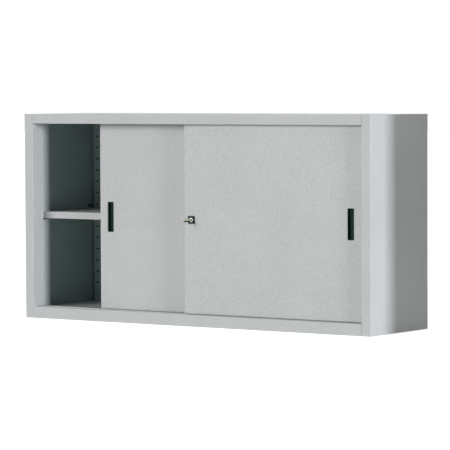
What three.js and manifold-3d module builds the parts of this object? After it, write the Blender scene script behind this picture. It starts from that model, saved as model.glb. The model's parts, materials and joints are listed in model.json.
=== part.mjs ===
// Sliding door cabinet in folded sheet steel: a wide, low cupboard with two doors that pass each other.
// Millimetres. +X runs along the width, +Y to the back, +Z up. The origin is the centre of the underside.
import * as THREE from "three";
import Module from "manifold-3d";
import { mergeVertices } from "three/addons/utils/BufferGeometryUtils.js";

// Overall size
const width = 1800;
const depth = 450;
const height = 900;

// Sheet, clearances, hidden folds and the overrun of every cut
const sheet = 1;
const fit = 0.3;
const overrun = 5;
const hiddenFold = 15;

// Front frame: upright stiles with a return, and the rails between them
const stileWidth = 45;
const stileReturn = 33;
const backFlange = 20;
const topRailHeight = 42;
const bottomRailHeight = 50;
const railLip = 12;

// Inner walls
const jambDepth = 76;
const linerInset = 37;
const partitionThickness = 22;
const linerHoleLength = 28;
const linerHoleHeight = 9;
const linerHoleFromBack = 31;
const linerHoleLevel = 482;

// Slotted racks and the shelves that hang in them
const rackWidth = 43;
const rackFromWall = 5.9;
const rackStandOff = 8;
const rackSheet = 1.2;
const slotPitch = 51;
const firstSlotLevel = 132;
const lastSlotFromTop = 100;
const slotHeight = 4.5;
const rackSlotLength = 17;
const wallSlotLength = 10;
const wallSlotFromFront = 85;
const shelfSlotIndex = 6;
const shelfHeight = 30;
const shelfLip = 12;
const shelfSetBack = 80;
const hookThickness = 1.5;
const hookReach = 20;
const hookTip = 5;
const hookNose = 6;

// Doors
const doorOverlap = 87.2;
const doorThickness = 20;
const frontDoorDepth = 18;
const doorFloorGap = 3.5;
const doorTopHidden = 10;
const doorLip = 15;
const rearDoorOpened = 335;

// Tracks and end stops
const channelClearance = 3.5;
const ribHeight = 3;
const ribWidth = 2.4;
const trackFlangeCover = 2;
const trackHeadroom = 6;
const stopThickness = 4;
const stopHeight = 16;

// Rollers, their housings, axles and the guides on the doors' top edges
const rollerRadius = 11;
const rollerWidth = 8;
const rollerFlange = 1.5;
const rollerGap = 0.5;
const rollerFromEnd = 90;
const housingLength = 38;
const housingWidth = 15;
const housingHeight = 30;
const axleRadius = 2;
const axleClearance = 0.1;
const guideThickness = 8;
const guideClearance = 1;
const guideFromEnd = 120;
const tenonLength = 20;
const tenonWidth = 6;
const tenonDepth = 6;

// Recessed handles
const handleWidth = 30;
const handleHeight = 130;
const handleLevel = 454;
const handleFromEdge = 57;
const handleFlange = 1.5;
const handleBorder = 2;
const handleWall = 1.5;
const handleCupDepth = 13;

// Lock
const lockFromEdge = 37.5;
const lockLevel = 453;
const lockPlateSize = 33;
const lockPlateThickness = 3.5;
const barrelRadius = 9.5;
const barrelProud = 2;
const barrelTailGap = 2;
const plugRadius = 6.4;
const plugClearance = 0.1;
const nutRadius = 14;
const nutThickness = 4;
const camGap = 1.2;
const camThickness = 2;
const camWidth = 14;
const camLength = 26;
const camSquare = 6;
const camScrewRadius = 4.5;
const camScrewHead = 2;
const camShankRadius = 1.5;
const camShankLength = 8;
const strikeWidth = 26;
const strikeHeight = 44;
const strikeSheet = 0.8;
const strikeSlotWidth = 6;
const strikeSlotHeight = 24;

// Key
const keyThickness = 2.2;
const keyBladeHeight = 7;
const keyInside = 18;
const keyNeck = 20;
const keyBowLength = 34;
const keyBowHeight = 15;
const keyHoleRadius = 3;
const keyClearance = 0.2;

// Stiffening hats
const hatWidth = 60;
const hatBrim = 15;

// The grid that points lie on
const grid = 0.001;

// Facets of round pieces
const wheelSides = 40;
const barrelSides = 36;
const bowSides = 24;
const pinSides = 16;
const nutSides = 6;

// Planes that several pieces share
const front = -depth / 2;
const back = depth / 2;
const halfWidth = width / 2;
const returnFace = halfWidth - stileWidth;
const jambFace = returnFace + sheet + fit;
const linerFace = halfWidth - linerInset;
const skinInside = halfWidth - sheet - fit;
const jambEnd = front + jambDepth;
const foldFront = front + sheet + fit;
const foldBack = back - sheet - fit;
const innerFront = foldFront + sheet + fit;
const innerBack = foldBack - sheet - fit;
const underTop = height - sheet - fit;
const overBottom = sheet + fit;
const sillTop = bottomRailHeight - sheet - fit;
const underSill = sillTop - sheet;
const rackFace = innerBack - rackStandOff;
const partitionFace = partitionThickness / 2;
const frameSpan = [-returnFace + fit, returnFace - fit];

// Doors in their channels
const doorBottom = bottomRailHeight + doorFloorGap;
const doorTop = height - topRailHeight + doorTopHidden;
const doorHeight = doorTop - doorBottom;
const doorPitch = doorThickness + channelClearance * 2 + sheet;
const doorDepths = [frontDoorDepth, frontDoorDepth + doorPitch];
const doorLimit = returnFace - fit - stopThickness - fit;
const doorWidth = doorLimit + doorOverlap / 2;
const frontDoorLeft = doorLimit - doorWidth;
const rearDoorLeft = rearDoorOpened - doorLimit;
const trackWeb = doorTop + guideThickness + trackHeadroom;
const trackFlangeEnd = height - topRailHeight + trackFlangeCover;
const doorCentre = doorThickness / 2;

// Shelves on their hooks
const slotCount = Math.floor((height - lastSlotFromTop - firstSlotLevel) / slotPitch) + 1;
const hookLevel = firstSlotLevel + slotPitch * shelfSlotIndex - slotHeight / 2 + fit;
const shelfUnderside = hookLevel + hookThickness + fit;
const shelfTop = shelfUnderside + shelfHeight;
const shelfFront = front + shelfSetBack;
const shelfBack = rackFace - fit;
const wallSlotCentre = front + wallSlotFromFront;

// Lock planes, measured from a door's face
const plateFront = -fit - lockPlateThickness;
const barrelFront = plateFront - barrelProud;
const barrelBack = doorThickness - barrelTailGap;
const camFront = doorThickness + camGap;
const camBack = camFront + camThickness;
const wheelLevel = sillTop + ribHeight + rollerRadius + fit - doorBottom;

// Finishes
const finish = (color, roughness, metalness) =>
  new THREE.MeshStandardMaterial({ color, roughness, metalness });
const greyPaint = () => finish(0xc4c5c7, 0.55, 0);
const blackPlastic = () => finish(0x16181a, 0.5, 0);
const whiteNylon = () => finish(0xe6e4dc, 0.45, 0);
const zincSteel = () => finish(0xa9adb0, 0.4, 1);
const nickel = () => finish(0xc9c7c0, 0.25, 1);
const blackRubber = () => finish(0x202020, 0.9, 0);

// Joining and cutting
const wasm = await Module();
wasm.setup();

// Points are set on a fine grid first, so that faces meant to lie in one plane do
const onGrid = (value) => Math.round(value / grid) * grid;

function solidFrom(geometry) {
  const bare = geometry.index ? geometry.toNonIndexed() : geometry.clone();
  bare.deleteAttribute("normal");
  bare.deleteAttribute("uv");
  const merged = mergeVertices(bare);
  const mesh = new wasm.Mesh({
    numProp: 3,
    vertProperties: merged.getAttribute("position").array.map(onGrid),
    triVerts: new Uint32Array(merged.index.array),
  });
  return new wasm.Manifold(mesh);
}

// Flat faces made of several triangles are drawn again with as few as they need
function geometryFrom(solid) {
  const mesh = solid.asOriginal().simplify(grid).getMesh();
  const geometry = new THREE.BufferGeometry();
  const points = new Float32Array(mesh.vertProperties);
  geometry.setAttribute("position", new THREE.BufferAttribute(points, 3));
  geometry.setIndex(new THREE.BufferAttribute(new Uint32Array(mesh.triVerts), 1));
  geometry.computeVertexNormals();
  return geometry;
}

const joined = (solids) => solids.reduce((whole, next) => whole.add(next));
const cutBy = (solid, cutters) => cutters.reduce((rest, cutter) => rest.subtract(cutter), solid);

// A span of a given size about a centre, and the same span made longer at both ends
const about = (centre, size) => [centre - size / 2, centre + size / 2];
const longer = ([from, to], extra) => [from - extra, to + extra];

// A span on the left or right half of the cabinet, always from low to high
const sided = (side, near, far) => (side > 0 ? [near, far] : [-far, -near]);

// A block between two values on each axis
function block([x0, x1], [y0, y1], [z0, z1]) {
  const geometry = new THREE.BoxGeometry(x1 - x0, y1 - y0, z1 - z0);
  geometry.translate((x0 + x1) / 2, (y0 + y1) / 2, (z0 + z1) / 2);
  return solidFrom(geometry);
}

// A round bar along Y
function bar(x, z, radius, [y0, y1], sides) {
  const geometry = new THREE.CylinderGeometry(radius, radius, y1 - y0, sides);
  geometry.translate(x, (y0 + y1) / 2, z);
  return solidFrom(geometry);
}

// Turns a section, drawn flat and extruded upwards, so that it runs along the named axis
const turns = {
  alongX: new THREE.Matrix4().set(0, 0, 1, 0, 1, 0, 0, 0, 0, 1, 0, 0, 0, 0, 0, 1),
  alongZ: new THREE.Matrix4(),
};

function extruded(shape, along, [from, to]) {
  const geometry = new THREE.ExtrudeGeometry(shape, { depth: to - from, bevelEnabled: false });
  geometry.translate(0, 0, from);
  geometry.applyMatrix4(turns[along]);
  return solidFrom(geometry);
}

// A folded sheet: one face's line in section, thickened to one side with mitred corners
function folded(line, thickness, along, span) {
  const outer = line.map(([u, v]) => new THREE.Vector2(u, v));
  const sides = outer.slice(1).map((point, index) => {
    const run = point.clone().sub(outer[index]).normalize();
    return new THREE.Vector2(-run.y, run.x);
  });
  const inner = outer.map((point, index) => {
    const before = sides[Math.max(index - 1, 0)];
    const after = sides[Math.min(index, sides.length - 1)];
    const mitre = before.clone().add(after).divideScalar(1 + before.dot(after));
    return point.clone().addScaledVector(mitre, thickness);
  });
  return extruded(new THREE.Shape([...outer, ...inner.reverse()]), along, span);
}

// A hat section: a raised channel with a brim on each side, from the brims' underside
// to the crown's top
function hat(centre, base, crown, along, span) {
  const [left, right] = about(centre, hatWidth);
  const line = [
    [left - hatBrim, base + sheet],
    [left, base + sheet],
    [left, crown],
    [right, crown],
    [right, base + sheet],
    [right + hatBrim, base + sheet],
  ];
  return folded(line, -sheet, along, span);
}

function addPiece(group, name, solid, material) {
  const mesh = new THREE.Mesh(geometryFrom(solid), material);
  mesh.name = name;
  group.add(mesh);
  return mesh;
}

const cabinet = new THREE.Group();
cabinet.name = "sliding_door_cabinet";
const sideNames = { left: -1, right: 1 };
const slotIndices = Array.from({ length: slotCount }, (_, index) => index);

// One upright row of slots, as cutters
const slotCutters = (xSpan, ySpan) =>
  slotIndices.map((index) =>
    block(xSpan, ySpan, about(firstSlotLevel + slotPitch * index, slotHeight)),
  );

// Outer side: skin, stile, return and back flange from one sheet; the return stops under the top
// and over the base
function sidePanel(side) {
  const line = [
    [side * (halfWidth - backFlange), back],
    [side * halfWidth, back],
    [side * halfWidth, front],
    [side * returnFace, front],
    [side * returnFace, front + stileReturn],
  ];
  const panel = folded(line, -side * sheet, "alongZ", [0, height]);
  const acrossReturn = sided(side, returnFace - overrun, returnFace + sheet);
  const alongReturn = [front + sheet, front + stileReturn + overrun];
  const ends = [[underTop, height + overrun], [-overrun, overBottom]];
  return cutBy(panel, ends.map((levels) => block(acrossReturn, alongReturn, levels)));
}

// Jamb: a narrow wall behind the stile's return, folded outwards where the door space ends
function jamb(side) {
  const line = [
    [side * jambFace, innerFront],
    [side * jambFace, jambEnd],
    [side * (linerFace + hiddenFold), jambEnd],
  ];
  return folded(line, -side * sheet, "alongZ", [overBottom, underTop]);
}

// Liner: the side wall seen from inside, with a row of slots for the front hooks and one long hole
// near the back
function liner(side) {
  const fold = side * (linerFace + hiddenFold);
  const line = [
    [fold, jambEnd + fit],
    [side * linerFace, jambEnd + fit],
    [side * linerFace, innerBack],
    [fold, innerBack],
  ];
  const wall = folded(line, -side * sheet, "alongZ", [sillTop + fit, underTop]);
  const through = sided(side, linerFace - overrun, linerFace + overrun);
  const hole = block(
    through,
    about(back - linerHoleFromBack, linerHoleLength),
    about(linerHoleLevel, linerHoleHeight),
  );
  return cutBy(wall, [...slotCutters(through, about(wallSlotCentre, wallSlotLength)), hole]);
}

function addSides() {
  for (const [name, side] of Object.entries(sideNames)) {
    addPiece(cabinet, `${name}_side_panel`, sidePanel(side), greyPaint());
    addPiece(cabinet, `${name}_jamb`, jamb(side), greyPaint());
    addPiece(cabinet, `${name}_wall_liner`, liner(side), greyPaint());
  }
}

// Rails of the front frame, between the returns of the stiles
function addRails() {
  const topLine = [
    [front, height],
    [front, height - topRailHeight],
    [front + railLip, height - topRailHeight],
  ];
  const bottomLine = [
    [front, 0],
    [front, bottomRailHeight],
    [front + railLip, bottomRailHeight],
  ];
  addPiece(cabinet, "top_rail", folded(topLine, sheet, "alongX", frameSpan), greyPaint());
  addPiece(cabinet, "bottom_rail", folded(bottomLine, -sheet, "alongX", frameSpan), greyPaint());
}

// Top and bottom: shallow trays with a fold behind each rail, notched round the returns, and one
// inside the back
function addTopAndBottom() {
  const line = [
    [foldFront, hiddenFold],
    [foldFront, 0],
    [foldBack, 0],
    [foldBack, hiddenFold],
  ];
  const flipped = line.map(([y, z]) => [y, height - z]);
  const span = [-skinInside, skinInside];
  const notches = (levels) =>
    [-1, 1].map((side) => {
      const across = sided(side, returnFace - fit, returnFace + sheet + fit);
      return block(across, [front, innerFront], levels);
    });
  const lowNotches = notches([overBottom - fit, hiddenFold + overrun]);
  const highNotches = notches([height - hiddenFold - overrun, underTop + fit]);
  const bottom = cutBy(folded(line, sheet, "alongX", span), lowNotches);
  const top = cutBy(folded(flipped, -sheet, "alongX", span), highNotches);
  addPiece(cabinet, "bottom_panel", bottom, greyPaint());
  addPiece(cabinet, "top_panel", top, greyPaint());
}

// Back panel between the back flanges of the sides
function addBack() {
  const edge = halfWidth - backFlange - fit;
  const panel = block([-edge, edge], [back - sheet, back], [0, height]);
  addPiece(cabinet, "back_panel", panel, greyPaint());
}

// Floor behind the door space, and the long hat that carries it
function addFloor() {
  const floorFront = jambEnd + fit;
  const line = [
    [floorFront, sillTop - hiddenFold],
    [floorFront, sillTop],
    [innerBack, sillTop],
    [innerBack, sillTop - hiddenFold],
  ];
  const span = [-skinInside, skinInside];
  const middle = (floorFront + innerBack) / 2;
  const support = hat(middle, overBottom, underSill - fit, "alongX", span);
  addPiece(cabinet, "floor_panel", folded(line, -sheet, "alongX", span), greyPaint());
  addPiece(cabinet, "floor_support_hat", support, zincSteel());
}

// Bottom track: a table on two legs with a running rib under each door
function addBottomTrack() {
  const plate = block(frameSpan, [innerFront, jambEnd], [underSill, sillTop]);
  const legs = [innerFront, jambEnd - sheet].map((y) =>
    block(frameSpan, [y, y + sheet], [overBottom, sillTop]),
  );
  const ribs = doorDepths.map((faceDepth) => {
    const across = about(front + faceDepth + doorCentre, ribWidth);
    return block(frameSpan, across, [underSill, sillTop + ribHeight]);
  });
  addPiece(cabinet, "bottom_track", joined([plate, ...legs, ...ribs]), greyPaint());
}

// Top track: two channels open downwards, whose outer flanges reach up to the top panel; a rubber
// stop closes each end
function addTopTrack() {
  const [frontFlange, middleFlange] = doorDepths.map(
    (faceDepth) => front + faceDepth - channelClearance - sheet,
  );
  const rearFlange = middleFlange + doorPitch;
  const outer = [frontFlange, rearFlange].map((y) =>
    block(frameSpan, [y, y + sheet], [trackFlangeEnd, underTop]),
  );
  const middle = block(
    [-doorLimit, doorLimit],
    [middleFlange, middleFlange + sheet],
    [trackFlangeEnd, trackWeb + sheet],
  );
  const web = block(frameSpan, [frontFlange, rearFlange + sheet], [trackWeb, trackWeb + sheet]);
  addPiece(cabinet, "top_track", joined([...outer, middle, web]), greyPaint());
  for (const [name, side] of Object.entries(sideNames)) {
    const across = sided(side, doorLimit + fit, returnFace - fit);
    const between = longer([frontFlange + sheet, rearFlange], -fit);
    const stop = block(across, between, about(doorTop, stopHeight));
    addPiece(cabinet, `${name}_door_stop`, stop, blackRubber());
  }
}

// Partition between the two bays: a flat tube with a row of slots near the front of each face
function addPartition() {
  const along = [jambEnd + fit, innerBack];
  const levels = [sillTop + fit, underTop];
  const faces = [-partitionFace, partitionFace];
  const tube = block(faces, along, levels).subtract(
    block(longer(faces, -sheet), longer(along, -sheet), longer(levels, overrun)),
  );
  const slots = slotCutters(longer(faces, overrun), about(wallSlotCentre, wallSlotLength));
  addPiece(cabinet, "centre_partition", cutBy(tube, slots), greyPaint());
}

// The four walls where a rack and two hooks carry a shelf: the liners and the partition's faces.
// The sign says to which side of the wall its bay lies.
const places = [
  { name: "left_wall", wall: -linerFace, sign: 1 },
  { name: "partition_left", wall: -partitionFace, sign: -1 },
  { name: "partition_right", wall: partitionFace, sign: 1 },
  { name: "right_wall", wall: linerFace, sign: -1 },
];
const rackCentre = (wall, sign) => wall + sign * (rackFromWall + rackWidth / 2);

// Slotted racks: channels that stand open towards the back panel
function addRacks() {
  for (const { name, wall, sign } of places) {
    const centre = rackCentre(wall, sign);
    const [from, to] = about(centre, rackWidth);
    const line = [
      [from, innerBack],
      [from, rackFace],
      [to, rackFace],
      [to, innerBack],
    ];
    const strip = folded(line, rackSheet, "alongZ", [sillTop + fit, underTop]);
    const through = longer([rackFace, rackFace + rackSheet], fit);
    const slots = slotCutters(about(centre, rackSlotLength), through);
    addPiece(cabinet, `${name}_rack`, cutBy(strip, slots), greyPaint());
  }
}

// A shelf: a tray turned down all round, with a lip under its front and back edges
function shelf([from, to]) {
  const line = [
    [shelfFront + shelfLip, shelfUnderside],
    [shelfFront, shelfUnderside],
    [shelfFront, shelfTop],
    [shelfBack, shelfTop],
    [shelfBack, shelfUnderside],
    [shelfBack - shelfLip, shelfUnderside],
  ];
  const board = folded(line, -sheet, "alongX", [from, to]);
  const ends = [from, to - sheet].map((x) =>
    block([x, x + sheet], [shelfFront, shelfBack], [shelfUnderside, shelfTop]),
  );
  return joined([board, ...ends]);
}

// A shelf hook that points along -Y out of a wall at y = 0: a tongue through the slot, a tip that
// turns up behind the wall and a nose that turns down in front of it
function hook(tongueWidth, wallThickness) {
  const across = about(0, tongueWidth);
  const tongueBack = wallThickness + fit + hookThickness;
  const tongue = block(across, [-hookReach, tongueBack], [0, hookThickness]);
  const tip = block(across, [wallThickness + fit, tongueBack], [0, hookTip]);
  const nose = block(across, [-fit - hookThickness, -fit], [-hookNose, hookThickness]);
  return joined([tongue, tip, nose]);
}

function addShelves() {
  const [inner, outer] = [partitionFace + fit, linerFace - fit];
  addPiece(cabinet, "left_shelf", shelf([-outer, -inner]), greyPaint());
  addPiece(cabinet, "right_shelf", shelf([inner, outer]), greyPaint());
  const rearHook = hook(rackSlotLength - fit * 2, rackSheet);
  const frontHook = hook(wallSlotLength - fit * 2, sheet);
  for (const { name, wall, sign } of places) {
    const rear = addPiece(cabinet, `${name}_rear_hook`, rearHook, zincSteel());
    rear.position.set(rackCentre(wall, sign), rackFace, hookLevel);
    const fore = addPiece(cabinet, `${name}_front_hook`, frontHook, zincSteel());
    fore.position.set(wall, wallSlotCentre, hookLevel);
    fore.rotation.z = sign * Math.PI / 2;
  }
}

// Where a door's rollers stand and its guide's tenons go, from the door's left edge
const rollerPlaces = { left: rollerFromEnd, right: doorWidth - rollerFromEnd };
const guideEnds = [guideFromEnd, doorWidth - guideFromEnd];
const tenonPlaces = longer(guideEnds, -tenonLength / 2);

// A door's skin: a pan with a lip all round its open back, and the openings for what it carries
function doorSkin(handleX, extraCuts) {
  const outside = [[0, doorWidth], [0, doorThickness], [0, doorHeight]];
  const pan = block(...outside);
  const hollow = block(...outside.map((span) => longer(span, -sheet)));
  const mouth = block(
    [doorLip, doorWidth - doorLip],
    longer([doorThickness - sheet, doorThickness], fit),
    [doorLip, doorHeight - doorLip],
  );
  const handleHole = block(
    about(handleX, handleWidth - handleBorder * 2 + fit * 2),
    longer([0, sheet], fit),
    about(handleLevel - doorBottom, handleHeight - handleBorder * 2 + fit * 2),
  );
  const wheelHoles = Object.values(rollerPlaces).map((x) =>
    block(
      about(x, (rollerRadius + rollerFlange + rollerGap) * 2),
      about(doorCentre, rollerWidth + rollerGap * 2),
      longer([0, sheet], fit),
    ),
  );
  const tenonHoles = tenonPlaces.map((x) =>
    block(
      about(x, tenonLength + fit * 2),
      about(doorCentre, tenonWidth + fit * 2),
      longer([doorHeight - sheet, doorHeight], fit),
    ),
  );
  return cutBy(pan, [hollow, mouth, handleHole, ...wheelHoles, ...tenonHoles, ...extraCuts]);
}

// A recessed handle: a thin flange on the face and a cup behind it, open to the front
function handle(x) {
  const level = handleLevel - doorBottom;
  const [cupWidth, cupHeight] = [handleWidth - handleBorder * 2, handleHeight - handleBorder * 2];
  const flange = block(about(x, handleWidth), [-fit - handleFlange, -fit], about(level, handleHeight));
  const across = about(x, cupWidth);
  const upright = about(level, cupHeight);
  const cup = block(across, [-fit - handleFlange, handleCupDepth], upright);
  const fingerSpace = block(
    longer(across, -handleWall),
    [-fit - handleFlange - overrun, handleCupDepth - handleWall],
    longer(upright, -handleWall),
  );
  return flange.add(cup).subtract(fingerSpace);
}

// The block that holds a roller in the door's bottom edge, with the pocket for the wheel and its axle hole
function rollerHousing(x) {
  const floor = sheet + fit;
  const across = about(doorCentre, housingWidth);
  const body = block(about(x, housingLength), across, [floor, floor + housingHeight]);
  const pocket = block(
    about(x, (rollerRadius + rollerFlange + rollerGap) * 2),
    about(doorCentre, rollerWidth + rollerGap * 2),
    [0, wheelLevel + rollerRadius + rollerFlange + rollerGap],
  );
  const axleHole = bar(x, wheelLevel, axleRadius + axleClearance, longer(across, overrun), pinSides);
  return cutBy(body, [pocket, axleHole]);
}

// A grooved wheel about its own axle: the tread is between two flanges that stand beside the rib
function roller() {
  const half = rollerWidth / 2;
  const groove = ribWidth / 2 + rollerGap;
  const bore = axleRadius + axleClearance;
  const rim = rollerRadius + rollerFlange;
  const profile = [
    [bore, -half],
    [rim, -half],
    [rim, -groove],
    [rollerRadius, -groove],
    [rollerRadius, groove],
    [rim, groove],
    [rim, half],
    [bore, half],
    [bore, -half],
  ];
  const points = profile.map(([r, y]) => new THREE.Vector2(r, y));
  return solidFrom(new THREE.LatheGeometry(points, wheelSides));
}

// The guide strip on the door's top edge, with a tenon through it near each end
function topGuide() {
  const wide = doorThickness + (channelClearance - guideClearance) * 2;
  const underside = doorHeight + fit;
  const levels = [underside, underside + guideThickness];
  const strip = block(guideEnds, about(doorCentre, wide), levels);
  const tenonLevels = [doorHeight - tenonDepth, levels[1]];
  const tenons = tenonPlaces.map((x) =>
    block(about(x, tenonLength), about(doorCentre, tenonWidth), tenonLevels),
  );
  return joined([strip, ...tenons]);
}

function addDoor(name, left, faceDepth, handleX, extraCuts) {
  const door = new THREE.Group();
  door.position.set(left, front + faceDepth, doorBottom);
  cabinet.add(door);
  const inside = sheet + fit;
  const upright = [inside, doorHeight - inside];
  const stiffener = hat(doorWidth / 2, inside, doorThickness - inside, "alongZ", upright);
  addPiece(door, `${name}_skin`, doorSkin(handleX, extraCuts), greyPaint());
  addPiece(door, `${name}_stiffener`, stiffener, zincSteel());
  addPiece(door, `${name}_handle`, handle(handleX), blackPlastic());
  addPiece(door, `${name}_top_guide`, topGuide(), whiteNylon());
  for (const [side, x] of Object.entries(rollerPlaces)) {
    const axle = bar(x, wheelLevel, axleRadius, about(doorCentre, housingWidth), pinSides);
    addPiece(door, `${name}_${side}_roller_housing`, rollerHousing(x), blackPlastic());
    addPiece(door, `${name}_${side}_axle`, axle, zincSteel());
    const wheel = addPiece(door, `${name}_${side}_roller`, roller(), whiteNylon());
    wheel.position.set(x, doorCentre, wheelLevel);
  }
  return door;
}

// The lock in the front door: plate, barrel and nut stay still; plug, cam and screw turn with the key
function addLock(door) {
  const lock = new THREE.Group();
  lock.position.set(lockFromEdge, 0, lockLevel - doorBottom);
  door.add(lock);
  const wide = about(0, lockPlateSize);
  const plateHole = bar(0, 0, barrelRadius + fit, longer([plateFront, -fit], fit), barrelSides);
  const plate = block(wide, [plateFront, -fit], wide).subtract(plateHole);
  const bore = bar(0, 0, plugRadius + plugClearance, longer([barrelFront, barrelBack], fit), barrelSides);
  const barrel = bar(0, 0, barrelRadius, [barrelFront, barrelBack], barrelSides).subtract(bore);
  const nutSpan = [sheet + fit, sheet + fit + nutThickness];
  const nutHole = bar(0, 0, barrelRadius + fit, longer(nutSpan, fit), barrelSides);
  const nut = bar(0, 0, nutRadius, nutSpan, nutSides).subtract(nutHole);
  const square = about(0, camSquare);
  const keyway = block(
    about(0, keyThickness + keyClearance * 2),
    [barrelFront - fit, barrelFront + keyInside + keyClearance],
    about(0, keyBladeHeight + keyClearance * 2),
  );
  const shankHoleSpan = longer([camBack - camShankLength, camBack], fit);
  const screwHole = bar(0, 0, camShankRadius + fit, shankHoleSpan, pinSides);
  const plug = bar(0, 0, plugRadius, [barrelFront, camFront - fit], barrelSides)
    .add(block(square, [barrelBack, camBack], square));
  const looseSquare = about(0, camSquare + fit * 2);
  const cam = block(about(0, camWidth), [camFront, camBack], [-camLength, camWidth / 2])
    .subtract(block(looseSquare, longer([camFront, camBack], fit), looseSquare));
  const headSpan = [camBack + fit, camBack + fit + camScrewHead];
  const screw = bar(0, 0, camScrewRadius, headSpan, pinSides)
    .add(bar(0, 0, camShankRadius, [camBack - camShankLength, headSpan[1]], pinSides));
  addPiece(lock, "lock_plate", plate, blackPlastic());
  addPiece(lock, "lock_barrel", barrel, nickel());
  addPiece(lock, "lock_nut", nut, zincSteel());
  addPiece(lock, "lock_plug", cutBy(plug, [keyway, screwHole]), nickel());
  addPiece(lock, "lock_cam", cam, zincSteel());
  addPiece(lock, "lock_cam_screw", screw, zincSteel());
  addPiece(lock, "key", key(), nickel());
}

// Key: a flat blade in the plug, a neck and an oval bow with a ring hole
function key() {
  const bowCentre = barrelFront - keyNeck - keyBowLength / 2;
  const bow = new THREE.Shape();
  bow.absellipse(bowCentre, 0, keyBowLength / 2, keyBowHeight / 2, 0, Math.PI * 2);
  const hole = new THREE.Path();
  hole.absarc(bowCentre - keyBowLength / 4, 0, keyHoleRadius, 0, Math.PI * 2);
  bow.holes.push(hole);
  const geometry = new THREE.ExtrudeGeometry(bow, {
    depth: keyThickness,
    bevelEnabled: false,
    curveSegments: bowSides,
  });
  geometry.translate(0, 0, -keyThickness / 2);
  geometry.applyMatrix4(turns.alongX);
  const blade = block(
    about(0, keyThickness),
    [barrelFront - keyNeck - overrun, barrelFront + keyInside],
    about(0, keyBladeHeight),
  );
  return blade.add(solidFrom(geometry));
}

// Strike on the rear door's face, where the cam's end comes to lie when both doors are closed
function addStrike(door) {
  const strike = new THREE.Group();
  const camReach = camLength - camWidth / 2;
  const strikeX = doorWidth - doorOverlap + lockFromEdge + camReach;
  strike.position.set(strikeX, -fit - strikeSheet, lockLevel - doorBottom);
  door.add(strike);
  const plate = block(about(0, strikeWidth), [0, strikeSheet], about(0, strikeHeight));
  const slot = block(about(0, strikeSlotWidth), longer([0, strikeSheet], fit), about(0, strikeSlotHeight));
  addPiece(strike, "lock_strike", plate.subtract(slot), zincSteel());
}

addSides();
addRails();
addTopAndBottom();
addBack();
addFloor();
addBottomTrack();
addTopTrack();
addPartition();
addRacks();
addShelves();
const lockHole = bar(
  lockFromEdge,
  lockLevel - doorBottom,
  barrelRadius + fit,
  longer([0, sheet], fit),
  barrelSides,
);
addLock(addDoor("front_door", frontDoorLeft, doorDepths[0], doorWidth - handleFromEdge, [lockHole]));
addStrike(addDoor("rear_door", rearDoorLeft, doorDepths[1], handleFromEdge, []));

export default cabinet;
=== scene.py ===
# Sliding door cabinet in grey powder-coated steel: its finished surfaces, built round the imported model.
# Metres, +X along the width, +Y to the back, +Z up.
import json
import math

import bmesh
import bpy
import numpy as np
from mathutils import Matrix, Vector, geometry


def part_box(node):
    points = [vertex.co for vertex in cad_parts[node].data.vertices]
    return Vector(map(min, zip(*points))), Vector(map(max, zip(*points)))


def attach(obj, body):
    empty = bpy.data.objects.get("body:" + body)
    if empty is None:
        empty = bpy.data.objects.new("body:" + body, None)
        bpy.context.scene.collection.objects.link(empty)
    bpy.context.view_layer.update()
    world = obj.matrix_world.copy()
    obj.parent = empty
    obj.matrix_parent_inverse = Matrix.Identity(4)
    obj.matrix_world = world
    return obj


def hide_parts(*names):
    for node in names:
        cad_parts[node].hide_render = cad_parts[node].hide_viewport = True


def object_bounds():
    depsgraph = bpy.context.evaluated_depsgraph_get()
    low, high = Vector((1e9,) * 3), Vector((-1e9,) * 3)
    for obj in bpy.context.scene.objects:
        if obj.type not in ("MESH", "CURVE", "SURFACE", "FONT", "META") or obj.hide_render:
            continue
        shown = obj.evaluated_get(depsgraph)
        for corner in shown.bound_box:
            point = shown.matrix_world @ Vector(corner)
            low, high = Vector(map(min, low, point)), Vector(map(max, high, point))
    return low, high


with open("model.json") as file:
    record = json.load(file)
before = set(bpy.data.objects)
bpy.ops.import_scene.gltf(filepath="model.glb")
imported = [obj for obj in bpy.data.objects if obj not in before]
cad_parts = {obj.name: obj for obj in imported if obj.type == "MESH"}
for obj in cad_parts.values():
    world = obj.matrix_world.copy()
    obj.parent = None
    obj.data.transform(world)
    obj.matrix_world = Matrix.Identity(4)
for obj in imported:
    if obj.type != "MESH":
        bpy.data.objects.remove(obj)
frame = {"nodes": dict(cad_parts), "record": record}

mm = 0.001
bothEnds = np.array([-0.5, 0.5])     # times a length: from the middle of a span to both its ends
sideSigns = {"left": -1, "right": 1}
doors = ("front_door", "rear_door")
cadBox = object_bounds()
nodes = frame["nodes"]
print("frame loaded with", len(nodes), "nodes")


# sRGB hex to linear: c / 12.92 up to 0.04045, and ((c + 0.055) / 1.055) to the power 2.4 above it
def linear(hexColour):
    values = np.array([int(hexColour[start:start + 2], 16) for start in (1, 3, 5)]) / 255
    curved = ((values + 0.055) / 1.055) ** 2.4
    return (*np.where(values > 0.04045, curved, values / 12.92).tolist(), 1.0)


# Adds one node, sets its own values and its inputs by name or number, and links sockets into it. The
# colour form of the Mix node has its share at input 0, its colours at 6 and 7 and the result at output 2.
def addNode(tree, kind, settings, links=None):
    node = tree.nodes.new(kind)
    for key, value in settings.items():
        if isinstance(key, str) and hasattr(node, key):
            setattr(node, key, value)
        else:
            node.inputs[key].default_value = value
    for key, socket in (links or {}).items():
        tree.links.new(socket, node.inputs[key])
    return node


def startMaterial(name):
    material = bpy.data.materials.new(name)
    material.use_nodes = True
    material.node_tree.nodes.clear()
    return material, material.node_tree


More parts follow.
